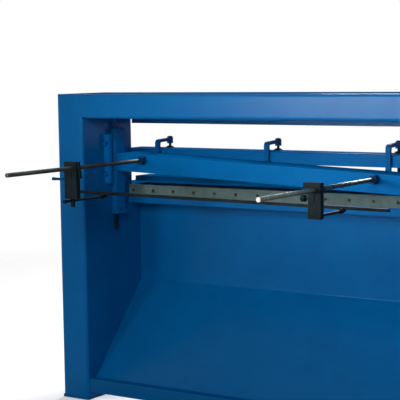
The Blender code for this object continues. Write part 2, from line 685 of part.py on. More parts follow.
# Front bar: a channel open underneath, with a turned bush where each plunger passes.
def front_bar(body):
    front = FRONT_BAR_REAR + FRONT_BAR_DEPTH
    low = FRONT_BAR_TOP - FRONT_BAR_HEIGHT
    half = WALL_X + FRONT_BAR_END
    path = [(FRONT_BAR_REAR, low), (FRONT_BAR_REAR, FRONT_BAR_TOP), (front, FRONT_BAR_TOP), (front, low)]
    made = prism_x("front_bar", folded(path, FRONT_BAR_SHEET, FRONT_BAR_SHEET * 1.5, -1), -half, half)
    for x in STRAP_XS.values():
        foot = (x, depth(HUB_DEPTH), FRONT_BAR_TOP - FRONT_BAR_SHEET)
        stations = [(BUSH_RADIUS, 0.0), (BUSH_RADIUS, FRONT_BAR_SHEET + BUSH_HEIGHT / 3),
                    (BUSH_TOP_RADIUS, FRONT_BAR_SHEET + BUSH_HEIGHT)]
        join(made, turned("bush", foot, (0, 0, 1), stations, 20))
        bore = (x, depth(HUB_DEPTH), FRONT_BAR_TOP - 2 * FRONT_BAR_SHEET)
        cut(made, cylinder("bore", bore, (0, 0, 1), PLUNGER_RADIUS + BORE_GAP, 5 * FRONT_BAR_SHEET, 20))
    finish(made, PAINT, (0, depth(FRONT_BAR_REAR), FRONT_BAR_TOP), body)


# Hooked straps: flat bar rising from the ram's nose, bent forward over the bar to a bored hub.
def hook_straps(body):
    for side, x in STRAP_XS.items():
        crown = HUB_TOP - HOOK_SINK
        foot = ram_top(x) - RAM_PLATE
        heel = LEG_FRONT - LEG_THICKNESS
        path = [(heel, foot), (heel, crown - HOOK_RISE), (HUB_DEPTH, crown)]
        half = STRAP_WIDTH / 2
        section = folded(path, LEG_THICKNESS, STRAP_BEND, -1, 6)
        made = prism_x(f"hook_strap_{side}", section, x - half, x + half)
        hub = (x, depth(HUB_DEPTH), HUB_TOP - HUB_HEIGHT)
        trim = HUB_DEPTH - HUB_RADIUS / 2
        cut(made, box("trim", x - STRAP_WIDTH, x + STRAP_WIDTH, trim, HUB_DEPTH + HUB_RADIUS,
                      crown - STRAP_WIDTH, crown + STRAP_WIDTH))
        join(made, cylinder("hub", hub, (0, 0, 1), HUB_RADIUS, HUB_HEIGHT))
        bore = (x, depth(HUB_DEPTH), HUB_TOP - 2 * HUB_HEIGHT)
        cut(made, cylinder("bore", bore, (0, 0, 1), PLUNGER_RADIUS + BORE_GAP, 3 * HUB_HEIGHT, 20))
        finish(made, PAINT, (x, depth(HUB_DEPTH), HUB_TOP), body)


# Hold-down: a flat foot across the table on three plungers that hang from the hubs by their nuts.
def hold_down(body):
    half = WALL_X - HOLD_DOWN_END_GAP
    low = HOLD_DOWN_TOP - HOLD_DOWN_THICKNESS
    front = HOLD_DOWN_REAR + HOLD_DOWN_DEPTH
    foot = box("hold_down_foot", -half, half, HOLD_DOWN_REAR, front, low, HOLD_DOWN_TOP)
    finish(foot, PAINT, body.location, body)
    for side, x in STRAP_XS.items():
        start = (x, depth(HUB_DEPTH), HOLD_DOWN_TOP + SEAT)
        nut_low = HUB_TOP + SEAT
        length = nut_low + NUT_HEIGHT + PLUNGER_TIP - start[2]
        made = cylinder(f"plunger_{side}", start, (0, 0, 1), PLUNGER_RADIUS, length, 20)
        join(made, hexagon("nut", (x, depth(HUB_DEPTH), nut_low), (0, 0, 1), NUT_WIDTH, NUT_HEIGHT))
        finish(made, BLACK_OXIDE, start, body)


# Gauge rods: bright round bars screwed into the ram's rear plate behind a lock nut.
def gauge_rods(body):
    for side, x in ROD_XS.items():
        z = ram_top(x) - ROD_DROP
        end = (x, depth(-ROD_REACH), z)
        rod = cylinder(f"gauge_rod_{side}", end, (0, -1, 0), ROD_RADIUS, ROD_REACH + RAM_DEPTH - SEAT)
        finish(rod, BRIGHT_STEEL, (x, depth(RAM_DEPTH), z), body)
        start = (x, depth(RAM_DEPTH - SEAT), z)
        nut = hexagon(f"rod_nut_{side}", start, (0, 1, 0), ROD_NUT_WIDTH, ROD_NUT_HEIGHT)
        bore = (x, depth(RAM_DEPTH + SHEET), z)
        cut(nut, cylinder("bore", bore, (0, 1, 0), ROD_RADIUS + SEAT, ROD_NUT_HEIGHT + 2 * SHEET))
        finish(nut, BLACK_OXIDE, start, body)


# The left clamp is one block down over the arm, with a cap beside the rod.
def left_clamp(x, z):
    half = CLAMP_WIDTH / 2
    rear = -CLAMP_DEPTH - CLAMP_THICKNESS
    top = z + CLAMP_HEAD
    made = box("clamp_left", x - half, x + half, rear, -CLAMP_DEPTH, gauge_bottom(x) - CLAMP_TOE, top)
    cap = box("cap", x, x + half + CLAMP_CAP, rear, -CLAMP_DEPTH, top - CLAMP_CAP_HEIGHT, top)
    return join(made, cap)


# The right clamp is shorter and wider, with a round hanger for the arm and a sloping latch.
def right_clamp(x, z):
    half = CLAMP_WIDTH / 2
    rear = -CLAMP_DEPTH - CLAMP_THICKNESS
    top = z + CLAMP_HEAD
    foot = gauge_bottom(x) + CLAMP_LIFT
    made = box("clamp_right", x - half, x + half + CLAMP_FLARE, rear, -CLAMP_DEPTH, foot, top)
    tip = (x + CLAMP_FLARE / 2, depth(-CLAMP_DEPTH - CLAMP_THICKNESS / 2), gauge_bottom(x) - HANGER_TIP)
    hanger = cylinder("hanger", tip, (0, 0, 1), HANGER_RADIUS, foot - tip[2] + SHEET, 20)
    near, far = x - half + SEAT, x - half - LATCH_SPREAD
    low = top - LATCH_LENGTH
    ends = []
    for d in (rear + LATCH_THICKNESS, rear + LATCH_THICKNESS + LATCH_DEPTH):
        y = depth(d)
        ends.append([(near, y, top), (near, y, top - 2 * LATCH_THICKNESS), (far + LATCH_THICKNESS, y, low),
                     (far, y, low), (near - LATCH_THICKNESS, y, top)])
    return join(made, hanger, loft("latch", *ends))


def lock_screw(side, lock):
    start = [(LOCK_SCREW_RADIUS, SEAT)]
    if side == "left":
        knob = [(LOCK_SCREW_RADIUS, LOCK_SCREW_LENGTH), (LOCK_KNOB_RADIUS, LOCK_SCREW_LENGTH),
                (LOCK_KNOB_RADIUS, LOCK_SCREW_LENGTH + LOCK_KNOB_LENGTH)]
    else:
        end = LOCK_SPIKE_START + LOCK_SPIKE_LENGTH
        knob = [(LOCK_SCREW_RADIUS, LOCK_SPIKE_START), (LOCK_SPIKE_RADIUS, LOCK_SPIKE_START),
                (LOCK_SPIKE_TIP_RADIUS, end - LOCK_SPIKE_TIP_RADIUS), (LOCK_SPIKE_TIP_RADIUS / 2, end)]
    return turned(f"lock_screw_{side}", lock, (1, 0, 0), start + knob, 16)


# Each arm runs from its clamp to the gauge bar; the right one passes through its hanger to a nut.
def gauge_arm(side, x, z):
    tail = CLAMP_DEPTH + CLAMP_THICKNESS
    if side == "right":
        tail += ARM_TAIL + ARM_NUT_LENGTH
    start = (x, depth(-tail), z)
    arm = cylinder(f"gauge_arm_{side}", start, (0, -1, 0), ARM_RADIUS, tail - GAUGE_REAR + GAUGE_DEPTH, 16)
    head = (x, depth(-GAUGE_REAR - ARM_HEAD_LENGTH - SEAT), z)
    join(arm, cylinder("head", head, (0, -1, 0), ARM_HEAD_RADIUS, ARM_HEAD_LENGTH, 16))
    if side == "right":
        join(arm, cylinder("nut", start, (0, -1, 0), ARM_NUT_RADIUS, ARM_NUT_LENGTH, 16))
    return arm


# Back gauge: a clamp on each rod, slit from the rod down to its lock screw, an arm and one stop bar.
def back_gauge(body):
    bore_length = CLAMP_THICKNESS + 2 * SHEET
    for side, x in ROD_XS.items():
        z = ram_top(x) - ROD_DROP
        flare = CLAMP_FLARE if side == "right" else 0.0
        arm_x = x + flare / 2
        arm_z = gauge_bottom(arm_x) - ARM_RADIUS - SEAT
        clamp = left_clamp(x, z) if side == "left" else right_clamp(x, z)
        near, far = -CLAMP_DEPTH - CLAMP_THICKNESS - SHEET, -CLAMP_DEPTH + SHEET
        lock_z = z - LOCK_DROPS[side]
        slit = box("slit", x - CLAMP_SLIT / 2, x + CLAMP_SLIT / 2, near, far, lock_z - ROD_RADIUS, z)
        cut(clamp, slit)
        through = (x, depth(far), z)
        cut(clamp, cylinder("bore", through, (0, 1, 0), ROD_RADIUS + BORE_GAP, bore_length))
        arm_bore = (arm_x, depth(far), arm_z)
        cut(clamp, cylinder("arm_bore", arm_bore, (0, 1, 0), ARM_RADIUS + SEAT, bore_length, 16))
        finish(clamp, BLACK_OXIDE, (x, depth(-CLAMP_DEPTH), z), body)
        lock = (x + CLAMP_WIDTH / 2 + flare, depth(-CLAMP_DEPTH - CLAMP_THICKNESS / 2), lock_z)
        finish(lock_screw(side, lock), BLACK_OXIDE, lock, body)
        finish(gauge_arm(side, arm_x, arm_z), BLACK_OXIDE, (arm_x, depth(-CLAMP_DEPTH), arm_z), body)
    reach = WALL_X - GAUGE_END_GAP
    front = -GAUGE_REAR + GAUGE_DEPTH
    low = GAUGE_TOP - GAUGE_HEIGHT
    path = [(-GAUGE_REAR, low), (-GAUGE_REAR, GAUGE_TOP), (front, GAUGE_TOP), (front, low)]
    section = folded(path, GAUGE_SHEET, GAUGE_BEND, -1)
    bar = prism_x("gauge_bar", section, -reach, reach, GAUGE_TILT, ROD_XS["right"])
    finish(bar, BLACK_OXIDE, (0, depth(-GAUGE_REAR), GAUGE_TOP), body)


def build():
    clear_scene()
    for side, sign in SIDES.items():
        side_housing(side, sign)
    foot_plates()
    top_beam()
    table()
    cross_beam()
    table_apron()
    lower_blade()
    chute()
    base_ties()
    treadle()
    guides()
    ram = empty("ram", (0, depth(RAM_DEPTH), ram_top(0)))
    ram_beam(ram)
    upper_blade(ram)
    slides(ram)
    front_bar(ram)
    hook_straps(ram)
    gauge_rods(ram)
    holder = empty("hold_down", (0, depth(HUB_DEPTH), HOLD_DOWN_TOP))
    hold_down(holder)
    gauge = empty("back_gauge", (0, depth(-GAUGE_REAR), GAUGE_TOP))
    back_gauge(gauge)


build()
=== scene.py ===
# Manual guillotine shear, dressed for a catalogue picture.
# Metres, +Z up, the gauge rods stand out on the +Y side.
import math

import bmesh
import bpy
import numpy as np
from mathutils import Matrix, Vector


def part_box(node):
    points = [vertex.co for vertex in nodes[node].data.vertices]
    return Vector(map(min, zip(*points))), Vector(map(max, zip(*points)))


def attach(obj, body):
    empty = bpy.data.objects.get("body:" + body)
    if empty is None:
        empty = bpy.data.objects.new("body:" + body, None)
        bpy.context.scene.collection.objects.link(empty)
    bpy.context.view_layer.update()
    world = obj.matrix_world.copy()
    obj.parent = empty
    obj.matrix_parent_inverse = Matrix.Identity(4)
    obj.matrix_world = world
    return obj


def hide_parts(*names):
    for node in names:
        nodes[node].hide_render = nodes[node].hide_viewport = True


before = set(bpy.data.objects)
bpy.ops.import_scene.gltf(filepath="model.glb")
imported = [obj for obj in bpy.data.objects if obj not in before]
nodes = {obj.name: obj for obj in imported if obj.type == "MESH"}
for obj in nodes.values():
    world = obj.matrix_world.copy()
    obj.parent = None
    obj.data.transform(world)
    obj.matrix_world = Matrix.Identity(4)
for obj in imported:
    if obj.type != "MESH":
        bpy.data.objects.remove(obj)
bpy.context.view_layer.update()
print("frame loaded:", len(nodes), "nodes")


# A node's lowest and highest corners, and the middle of its box.
def boxOf(node):
    low, high = (np.array(corner, float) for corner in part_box(node))
    return low, high, (low + high) / 2


# Quads between neighbouring points of a grid. Closed joins each row's last point to its first.
def gridQuads(rows, columns, closed=False):
    i, j = np.meshgrid(np.arange(rows - 1), np.arange(columns if closed else columns - 1),
                       indexing="ij")
    nextJ = (j + 1) % columns
    corners = [i * columns + j, i * columns + nextJ,
               (i + 1) * columns + nextJ, (i + 1) * columns + j]
    return np.stack(corners, -1).reshape(-1, 4)


# A flat sheet: every u with every v, put in its place by a function of the two.
def flatSheet(us, vs, place):
    u, v = np.meshgrid(us, vs, indexing="ij")
    points = np.stack(np.broadcast_arrays(*place(u, v)), -1)
    return points.reshape(-1, 3), gridQuads(len(us), len(vs))


# Three directions, each one long: two that are square to the axis, then the axis itself.
def axisFrame(axis):
    along = np.array(axis, float) / np.linalg.norm(axis)
    upright = abs(along[2]) > 0.9
    helper = np.array([1.0, 0.0, 0.0]) if upright else np.array([0.0, 0.0, 1.0])
    side = np.cross(along, helper)
    side /= np.linalg.norm(side)
    return side, np.cross(along, side), along


# Points round an axis: origin + distance[k] along it + radius[k, t] out at angle t.
def aroundAxis(origin, axis, distance, radius, angle):
    side, other, along = axisFrame(axis)
    ring = np.cos(angle)[:, None] * side + np.sin(angle)[:, None] * other
    points = np.array(origin, float) + distance[:, None, None] * along + radius[:, :, None] * ring
    return points.reshape(-1, 3), gridQuads(*radius.shape, closed=True)


def fullTurn(sides):
    return np.linspace(0.0, 2 * math.pi, sides, endpoint=False)


# A turned surface of stations (radius, distance, half width of flats). Where a station has
# flats, its radius is cut to the hexagon of that half width: half / cos(angle from the flat).
def turned(profile, origin, axis, sides):
    stations = np.array([(*station, 0.0)[:3] for station in profile], float)
    angle = fullTurn(sides)
    noFlats = 1e3  # a hexagon so wide cuts nothing
    flats = np.where(stations[:, 2] > 0, stations[:, 2], noFlats)
    hexagon = flats[:, None] / np.cos(np.mod(angle, math.pi / 3) - math.pi / 6)
    radius = np.minimum(stations[:, :1], hexagon)
    return aroundAxis(origin, axis, stations[:, 1], radius, angle)


# A screw thread: the radius falls from the crest by a zigzag of (distance / pitch - angle / one
# turn), fades to the core over the first and last pitch, and a flat closes both ends.
def threaded(crest, groove, pitch, length, origin, axis, sides):
    perPitch = 4
    distance = np.linspace(0.0, length, int(round(length / pitch * perPitch)))
    angle = fullTurn(sides)
    turn = distance[:, None] / pitch - angle / (2 * math.pi)
    fade = np.clip(np.minimum(distance, length - distance) / pitch, 0.0, 1.0)[:, None]
    depth = groove * np.abs(2 * np.mod(turn, 1.0) - 1.0) * fade + groove * (1 - fade)
    radius = np.pad(crest - depth, ((1, 1), (0, 0)))
    distance = np.concatenate([[0.0], distance, [length]])
    return aroundAxis(origin, axis, distance, radius, angle)


beadValues = {
    "ripplePitch": 0.0035,
    "perRipple": 4,  # rows of points
    "ripple": 0.10,  # share of the girth
    "drift": 0.05,
    "driftRate": 61.0,  # radians a metre
    "fanPoints": 7,
    "hollow": 0.18,
}


# A weld bead in a corner: along the line its section is a fan of points at angle q between the
# directions a and b, at size * (1 - ripple + ripple * |sine| + drift), hollowed by sin 2q and
# tapered to nothing at both ends by a square root.
def bead(start, end, a, b, size, values=beadValues):
    start, end = np.array(start, float), np.array(end, float)
    length = np.linalg.norm(end - start)
    rows = int(length / values["ripplePitch"] * values["perRipple"])
    share = np.linspace(0.0, 1.0, rows)
    wave = np.abs(np.sin(math.pi * share * length / values["ripplePitch"]))
    drift = values["drift"] * np.sin(share * length * values["driftRate"])
    taper = np.sqrt(np.clip(np.minimum(share, 1 - share) * length / size, 0.0, 1.0))
    girth = size * taper * (1 - values["ripple"] + values["ripple"] * wave + drift)
    q = np.linspace(0.0, math.pi / 2, values["fanPoints"])
    fan = np.cos(q)[:, None] * np.array(a, float) + np.sin(q)[:, None] * np.array(b, float)
    fan *= (1.0 - values["hollow"] * np.sin(2 * q))[:, None]
    section = np.concatenate([np.zeros((1, 3)), fan])
    middle = start + share[:, None] * (end - start)
    points = middle[:, None, :] + girth[:, None, None] * section
    return points.reshape(-1, 3), gridQuads(rows, len(section), closed=True)


edgeValues = {"samples": 6, "leanSpan": (0.995, 0.86)}


# Shorthand for the nodes of one material or world.
class NodeBook:
    def __init__(self, tree):
        self.tree = tree

    def add(self, kind, values=(), **settings):
        made = self.tree.nodes.new(kind)
        for key, value in settings.items():
            setattr(made, key, value)
        for key, value in dict(values).items():
            if isinstance(value, bpy.types.NodeSocket):
                self.link(value, made.inputs[key])
            else:
                made.inputs[key].default_value = value
        return made

    def link(self, output, socket):
        self.tree.links.new(output, socket)

    def maths(self, operation, first, second):
        return self.add("ShaderNodeMath", {0: first, 1: second}, operation=operation).outputs[0]

    def mix(self, factor, first, second):
        made = self.add("ShaderNodeMix", {0: factor, 6: first, 7: second}, data_type="RGBA")
        return made.outputs[2]

    def noise(self, place, scale, detail, roughness):
        values = {"Vector": place, "Scale": scale, "Detail": detail, "Roughness": roughness}
        return self.add("ShaderNodeTexNoise", values).outputs["Fac"]

    def ramp(self, value, span, to=(0.0, 1.0)):
        values = {"Value": value, "From Min": span[0], "From Max": span[1],
                  "To Min": to[0], "To Max": to[1]}
        return self.add("ShaderNodeMapRange", values).outputs["Result"]

    def bump(self, strength, depth, height, normal):
        values = {"Strength": strength, "Distance": depth, "Height": height, "Normal": normal}
        return self.add("ShaderNodeBump", values).outputs["Normal"]

    # The rounded normal, and how far it leans from the face's own: 0 on a flat, 1 on an edge.
    def edges(self, radius):
        bevel = self.add("ShaderNodeBevel", {"Radius": radius}, samples=edgeValues["samples"])
        rounded = bevel.outputs["Normal"]
        own = self.add("ShaderNodeNewGeometry").outputs["Normal"]
        lean = self.add("ShaderNodeVectorMath", {0: rounded, 1: own}, operation="DOT_PRODUCT")
        return rounded, self.ramp(lean.outputs["Value"], edgeValues["leanSpan"])


def newMaterial(name):
    material = bpy.data.materials.new(name)
    material.use_nodes = True
    tree = material.node_tree
    return material, NodeBook(tree), tree.nodes["Principled BSDF"]


def rgb(colour, paintedLightScale=1.0):
    return (*(c * paintedLightScale for c in colour), 1.0)


# Noises are (scale, detail, roughness); spans are the noise values that a ramp starts and ends at.
paintLook = {
    "colour": (0.0004, 0.116, 0.340),
    "deep": (0.0006, 0.094, 0.280),
    "wornPaintAndHighlight": (0.010, 0.165, 0.420),
    "primer": (0.050, 0.060, 0.066),
    "broad": (2.3, 2.0, 0.55),
    "cloud": (14.0, 4.0, 0.55),
    "broadShare": 0.65,
    "patchSpan": (0.36, 0.64),
    "edgeRadius": 0.0013,
    "rubAndHighlightSpan": (0.30, 0.70),
    "rubAndHighlightShare": (0.25, 0.85),
    "speck": (160.0, 5.0, 0.7),
    "chipSpan": (0.70, 0.74),
    "chipShare": 1.2,  # of the wear
    "streak": (38.0, 6.0, 0.65),
    "streakSpan": (0.25, 0.75),
    "roughness": (0.21, 0.28),
    "gloss": 0.07,
    "glossFade": (0.45, 0.90),
    "peel": (900.0, 2.0, 0.55),
    "peelBump": 0.35,
    "peelDepth": 0.000018,
}
# Each kind is the same blue enamel, its colour multiplied by a number that is painted light and
# shade: gib 1.45, slides 1.22 and moving parts 1.06 are lit copies; table, feet, ties, treadle and
# guides 0.82, straps 0.86, and nuts and the spike grip 0.42 are shaded copies. Wear and gloss are
# the paint's own.
enamelKinds = {
    "blueEnamel": {"paintedLightScale": 1.0, "wear": 0.5, "gloss": 1.0},
    "shadedEnamel": {"paintedLightScale": 0.82, "wear": 0.7, "gloss": 1.0},
    "movingLitEnamel": {"paintedLightScale": 1.06, "wear": 0.8, "gloss": 0.3},
    "gibLitEnamel": {"paintedLightScale": 1.45, "wear": 0.7, "gloss": 0.3},
    "slideLitEnamel": {"paintedLightScale": 1.22, "wear": 0.6, "gloss": 0.3},
    "strapShadedEnamel": {"paintedLightScale": 0.86, "wear": 0.9, "gloss": 0.3},
    "nutShadedEnamel": {"paintedLightScale": 0.42, "wear": 0.5, "gloss": 0.3},
}


# Sprayed machine enamel: a tone patchy at two scales and scaled by the kind's painted light and
# shade number, brighter edges that are partly worn paint and partly a painted highlight, rare chips
# on the edges, streaks in its roughness, and orange peel.
def enamel(name, look, paintedLightScale, wear, gloss):
    material, book, shader = newMaterial(name)
    place = book.add("ShaderNodeTexCoord").outputs["Object"]
    broad = book.noise(place, *look["broad"])
    cloud = book.noise(place, *look["cloud"])
    patch = book.maths("ADD", book.maths("MULTIPLY", broad, look["broadShare"]),
                       book.maths("MULTIPLY", cloud, 1 - look["broadShare"]))
    tone = book.mix(book.ramp(patch, look["patchSpan"]), rgb(look["deep"], paintedLightScale),
                    rgb(look["colour"], paintedLightScale))
    rounded, edge = book.edges(look["edgeRadius"])
    # Brighter edges: rubbed paint, and also a painted highlight along the rounded edges.
    rubbed = book.maths("MULTIPLY", edge, book.ramp(cloud, look["rubAndHighlightSpan"], look["rubAndHighlightShare"]))
    tone = book.mix(book.maths("MULTIPLY", rubbed, wear), tone, rgb(look["wornPaintAndHighlight"]))
    speck = book.noise(place, *look["speck"])
    chip = book.maths("MULTIPLY", edge, book.ramp(speck, look["chipSpan"]))
    chip = book.maths("MULTIPLY", chip, min(wear * look["chipShare"], 1.0))
    tone = book.mix(chip, tone, rgb(look["primer"]))
    book.link(tone, shader.inputs["Base Color"])
    streak = book.noise(place, *look["streak"])
    book.link(book.ramp(streak, look["streakSpan"], look["roughness"]), shader.inputs["Roughness"])
    facing = book.add("ShaderNodeLayerWeight", {"Blend": 0.5}).outputs["Facing"]
    book.link(book.ramp(facing, look["glossFade"], (look["gloss"] * gloss, 0.0)),
              shader.inputs["Specular IOR Level"])
    peel = book.noise(place, *look["peel"])
    book.link(book.bump(look["peelBump"], look["peelDepth"], peel, rounded),
              shader.inputs["Normal"])
    return material


steelLook = {
    "lines": (420.0, 4.0, 0.6),
    "lineSpan": (0.35, 0.70),
    "lineShare": (0.0, 0.45),
    "lineBump": 0.25,
    "lineDepth": 0.00004,
    "stain": (22.0, 5.0, 0.62),
    "stainSpan": (0.34, 0.66),
    "wornSpan": (0.35, 0.6),
    "wornShare": (0.2, 0.8),
    "wornGlow": 0.01,
    "roughSpan": (0.3, 0.7),
    "roughSwing": (0.10, -0.05),
}
steelKinds = {
    "groundSteel": {"colour": (0.118, 0.176, 0.168), "dark": (0.078, 0.122, 0.118),
                    "metallic": 0.0, "roughness": 0.46, "gloss": 0.02,
                    "grain": (0.02, 1.0, 1.0), "edgeLift": 1.6, "edgeRadius": 0.0012},
    "drawnSteel": {"colour": (0.100, 0.125, 0.118), "dark": (0.055, 0.075, 0.070),
                   "metallic": 0.55, "roughness": 0.26, "gloss": 0.5,
                   "grain": (1.0, 0.02, 1.0), "edgeLift": 1.6, "edgeRadius": 0.0012},
    # A pale disc for the left rod's end: its near-white colour is a painted highlight.
    "endHighlightSteel": {"colour": (0.80, 0.77, 0.70), "dark": (0.62, 0.60, 0.54),
                  "metallic": 0.0, "roughness": 0.38, "gloss": 0.5,
                  "grain": (1.0, 1.0, 1.0), "edgeLift": 1.0, "edgeRadius": 0.0012},
    "dullSteel": {"colour": (0.070, 0.078, 0.076), "dark": (0.030, 0.036, 0.036),
                  "metallic": 0.6, "roughness": 0.42, "gloss": 0.3,
                  "grain": (1.0, 0.02, 1.0), "edgeLift": 1.6, "edgeRadius": 0.0012},
    # Black oxide, its near-black base tinted blue: a painted reflection of the blue enamel around
    # it.
    "oxideAndBlueReflection": {"colour": (0.0060, 0.0138, 0.0165), "dark": (0.003, 0.007, 0.010),
                   "metallic": 0.0, "roughness": 0.42, "gloss": 0.05,
                   "grain": (1.0, 1.0, 1.0), "edgeLift": 3.0, "edgeRadius": 0.0012},
    "screwSteel": {"colour": (0.030, 0.042, 0.042), "dark": (0.016, 0.024, 0.025),
                   "metallic": 0.0, "roughness": 0.40, "gloss": 0.20,
                   "grain": (1.0, 1.0, 1.0), "edgeLift": 2.0, "edgeRadius": 0.0006},
}


# Bare or blacked steel: fine lines stretched along one axis, soft stains, brighter worn edges.
def steel(name, look, kind):
    material, book, shader = newMaterial(name)
    place = book.add("ShaderNodeTexCoord").outputs["Object"]
    stretched = book.add("ShaderNodeMapping", {"Vector": place, "Scale": kind["grain"]})
    lines = book.noise(stretched.outputs["Vector"], *look["lines"])
    stain = book.noise(place, *look["stain"])
    dark = rgb(kind["dark"])
    tone = book.mix(book.ramp(stain, look["stainSpan"]), dark, rgb(kind["colour"]))
    tone = book.mix(book.ramp(lines, look["lineSpan"], look["lineShare"]), tone, dark)
    rounded, edge = book.edges(kind["edgeRadius"])
    worn = [min(c * kind["edgeLift"] + look["wornGlow"], 1.0) for c in kind["colour"]]
    rubbed = book.maths("MULTIPLY", edge, book.ramp(stain, look["wornSpan"], look["wornShare"]))
    tone = book.mix(rubbed, tone, rgb(worn))
    book.link(tone, shader.inputs["Base Color"])
    shader.inputs["Metallic"].default_value = kind["metallic"]
    shader.inputs["Specular IOR Level"].default_value = kind["gloss"]
    rough = [kind["roughness"] + swing for swing in look["roughSwing"]]
    book.link(book.ramp(stain, look["roughSpan"], rough), shader.inputs["Roughness"])
    book.link(book.bump(look["lineBump"], look["lineDepth"], lines, rounded),
              shader.inputs["Normal"])
    return material


finishes = {name: enamel(name, paintLook, **kind) for name, kind in enamelKinds.items()}
finishes.update({name: steel(name, steelLook, kind) for name, kind in steelKinds.items()})

# What each finish goes on, by the start of the node's name. The rest is plain blue enamel.
nodeStarts = {
    "shadedEnamel": ("foot_plate_", "base_tie_", "treadle_arm_", "table_top", "guide_bar_"),
    "movingLitEnamel": ("ram_beam", "front_bar", "hold_down_foot"),
    "gibLitEnamel": ("gib_",),
    "slideLitEnamel": ("slide_",),
    "strapShadedEnamel": ("hook_strap_",),
    "groundSteel": ("lower_blade", "upper_blade"),
    "drawnSteel": ("gauge_rod_left",),
    "dullSteel": ("gauge_rod_right",),
    "oxideAndBlueReflection": ("stop_bolt_", "plunger_", "clamp_", "lock_screw_", "gauge_arm_", "gauge_bar",
                   "rod_nut_"),
}
for name, node in nodes.items():
    matching = [finish for finish, starts in nodeStarts.items() if name.startswith(starts)]
    node.data.materials.clear()
    node.data.materials.append(finishes[matching[0] if matching else "blueEnamel"])
print("finishes given to the frame's nodes")


# Several point-and-face sets become one piece with doubles merged and normals facing out, its
# edges sharp past the smooth angle. It rides on a body.
def makePiece(name, parts, finish, body, smoothAngle, replaces=()):
    mergeDistance, leastEdge = 2e-6, 1e-6
    firsts = np.cumsum([0] + [len(points) for points, faces in parts])
    points = np.concatenate([points for points, faces in parts])
    faces = np.concatenate([faces + first for (_, faces), first in zip(parts, firsts)])
    mesh = bpy.data.meshes.new(name)
    mesh.from_pydata(points, [], faces)
    shape = bmesh.new()
    shape.from_mesh(mesh)
    bmesh.ops.remove_doubles(shape, verts=shape.verts, dist=mergeDistance)
    bmesh.ops.dissolve_degenerate(shape, edges=shape.edges, dist=leastEdge)
    bmesh.ops.recalc_face_normals(shape, faces=shape.faces)
    shape.to_mesh(mesh)
    shape.free()
    mesh.shade_smooth()
    mesh.set_sharp_from_angle(angle=math.radians(smoothAngle))
    mesh.materials.append(finishes[finish])
    piece = bpy.data.objects.new(name, mesh)
    bpy.context.scene.collection.objects.link(piece)
    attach(piece, body)
    if replaces:
        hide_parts(*replaces)


bladeValues = {
    "screwCount": 14,
    "screwPitch": 0.100,
    "screwShift": 0.009,  # of the whole row towards +X
    "screwDrop": 0.0015,  # below the blade's middle line
    "rakeDegrees": 2.3,
    "boreRadius": 0.0072,
    "boreDepth": 0.0085,
    "chamfer": 0.0005,
    "perSide": 7,  # points along each side of a cell
    "ringShares": (1.0, 0.6, 0.3, 0.12, 0.0),  # of the way out from the hole to the cell
    "headRadius": 0.0062,
    "headHeight": 0.0078,
    "headRound": 0.0010,
    "headLift": 0.0002,  # off the bore's floor
    "socketHalf": 0.0030,
    "socketDepth": 0.0042,
    "socketRound": 0.0003,
    "socketFlare": 1.25,
    "headSides": 24,
    "headSmoothAngle": 35,
    "smoothAngle": 30,
}


# The rectangle's outline as points, walked round once from its low left corner.
def rectangleWalk(x0, x1, z0, z1, perSide):
    share = np.arange(perSide) / perSide
    across, up = share * (x1 - x0), share * (z1 - z0)
    fixed = np.ones(perSide)
    sides = [(x0 + across, z0 * fixed), (x1 * fixed, z0 + up),
             (x1 - across, z1 * fixed), (x0 * fixed, z1 - up)]
    return np.concatenate([np.stack(side, 1) for side in sides])


# One cell of a bored face: rings at hole + spoke * rim + share * (rectangle - rim) blend from the
# cell's rectangle to the hole's circle, then come a small chamfer, the bore's wall and its floor.
def boredCell(cell, hole, y, inward, values):
    bore, chamfer, depth = values["boreRadius"], values["chamfer"], values["boreDepth"]
    away = rectangleWalk(*cell, values["perSide"]) - hole
    spoke = away / np.linalg.norm(away, axis=1)[:, None]
    rim = spoke * (bore + chamfer)
    face = [hole + rim + share * (away - rim) for share in values["ringShares"]]
    well = [(bore, chamfer), (bore, depth), (bore * 0.5, depth), (0.0, depth)]
    rings = np.stack(face + [hole + spoke * radius for radius, sunk in well])
    sunk = np.array([0.0] * len(face) + [sunk for radius, sunk in well])
    ys = np.broadcast_to(y + inward * sunk[:, None], rings.shape[:2])
    points = np.stack([rings[..., 0], ys, rings[..., 1]], -1)
    return points.reshape(-1, 3), gridQuads(*rings.shape[:2], closed=True)


# A blade: a bored face of cells, a plain sheet opposite, and strips round the edges that share
# their points with both.
def bladeParts(half, low, high, boredY, plainY, values):
    count = values["screwCount"]
    holes = values["screwShift"] + (np.arange(count) - (count - 1) / 2) * values["screwPitch"]
    borders = np.concatenate([[-half], (holes[:-1] + holes[1:]) / 2, [half]])
    cells = list(zip(borders[:-1], borders[1:]))
    middle = (low + high) / 2 - values["screwDrop"]
    inward = math.copysign(1.0, plainY - boredY)
    parts = [boredCell((a, b, low, high), np.array([x, middle]), boredY, inward, values)
             for (a, b), x in zip(cells, holes)]
    share = np.arange(values["perSide"]) / values["perSide"]
    xs = np.concatenate([a + share * (b - a) for a, b in cells] + [[half]])
    zs = np.concatenate([low + share * (high - low), [high]])
    parts.append(flatSheet(xs, zs, lambda x, z: (x, plainY, z)))
    parts += [flatSheet(xs, (boredY, plainY), lambda x, y: (x, y, z)) for z in (low, high)]
    parts += [flatSheet(zs, (boredY, plainY), lambda z, y: (x, y, z)) for x in (-half, half)]
    return parts, holes, middle


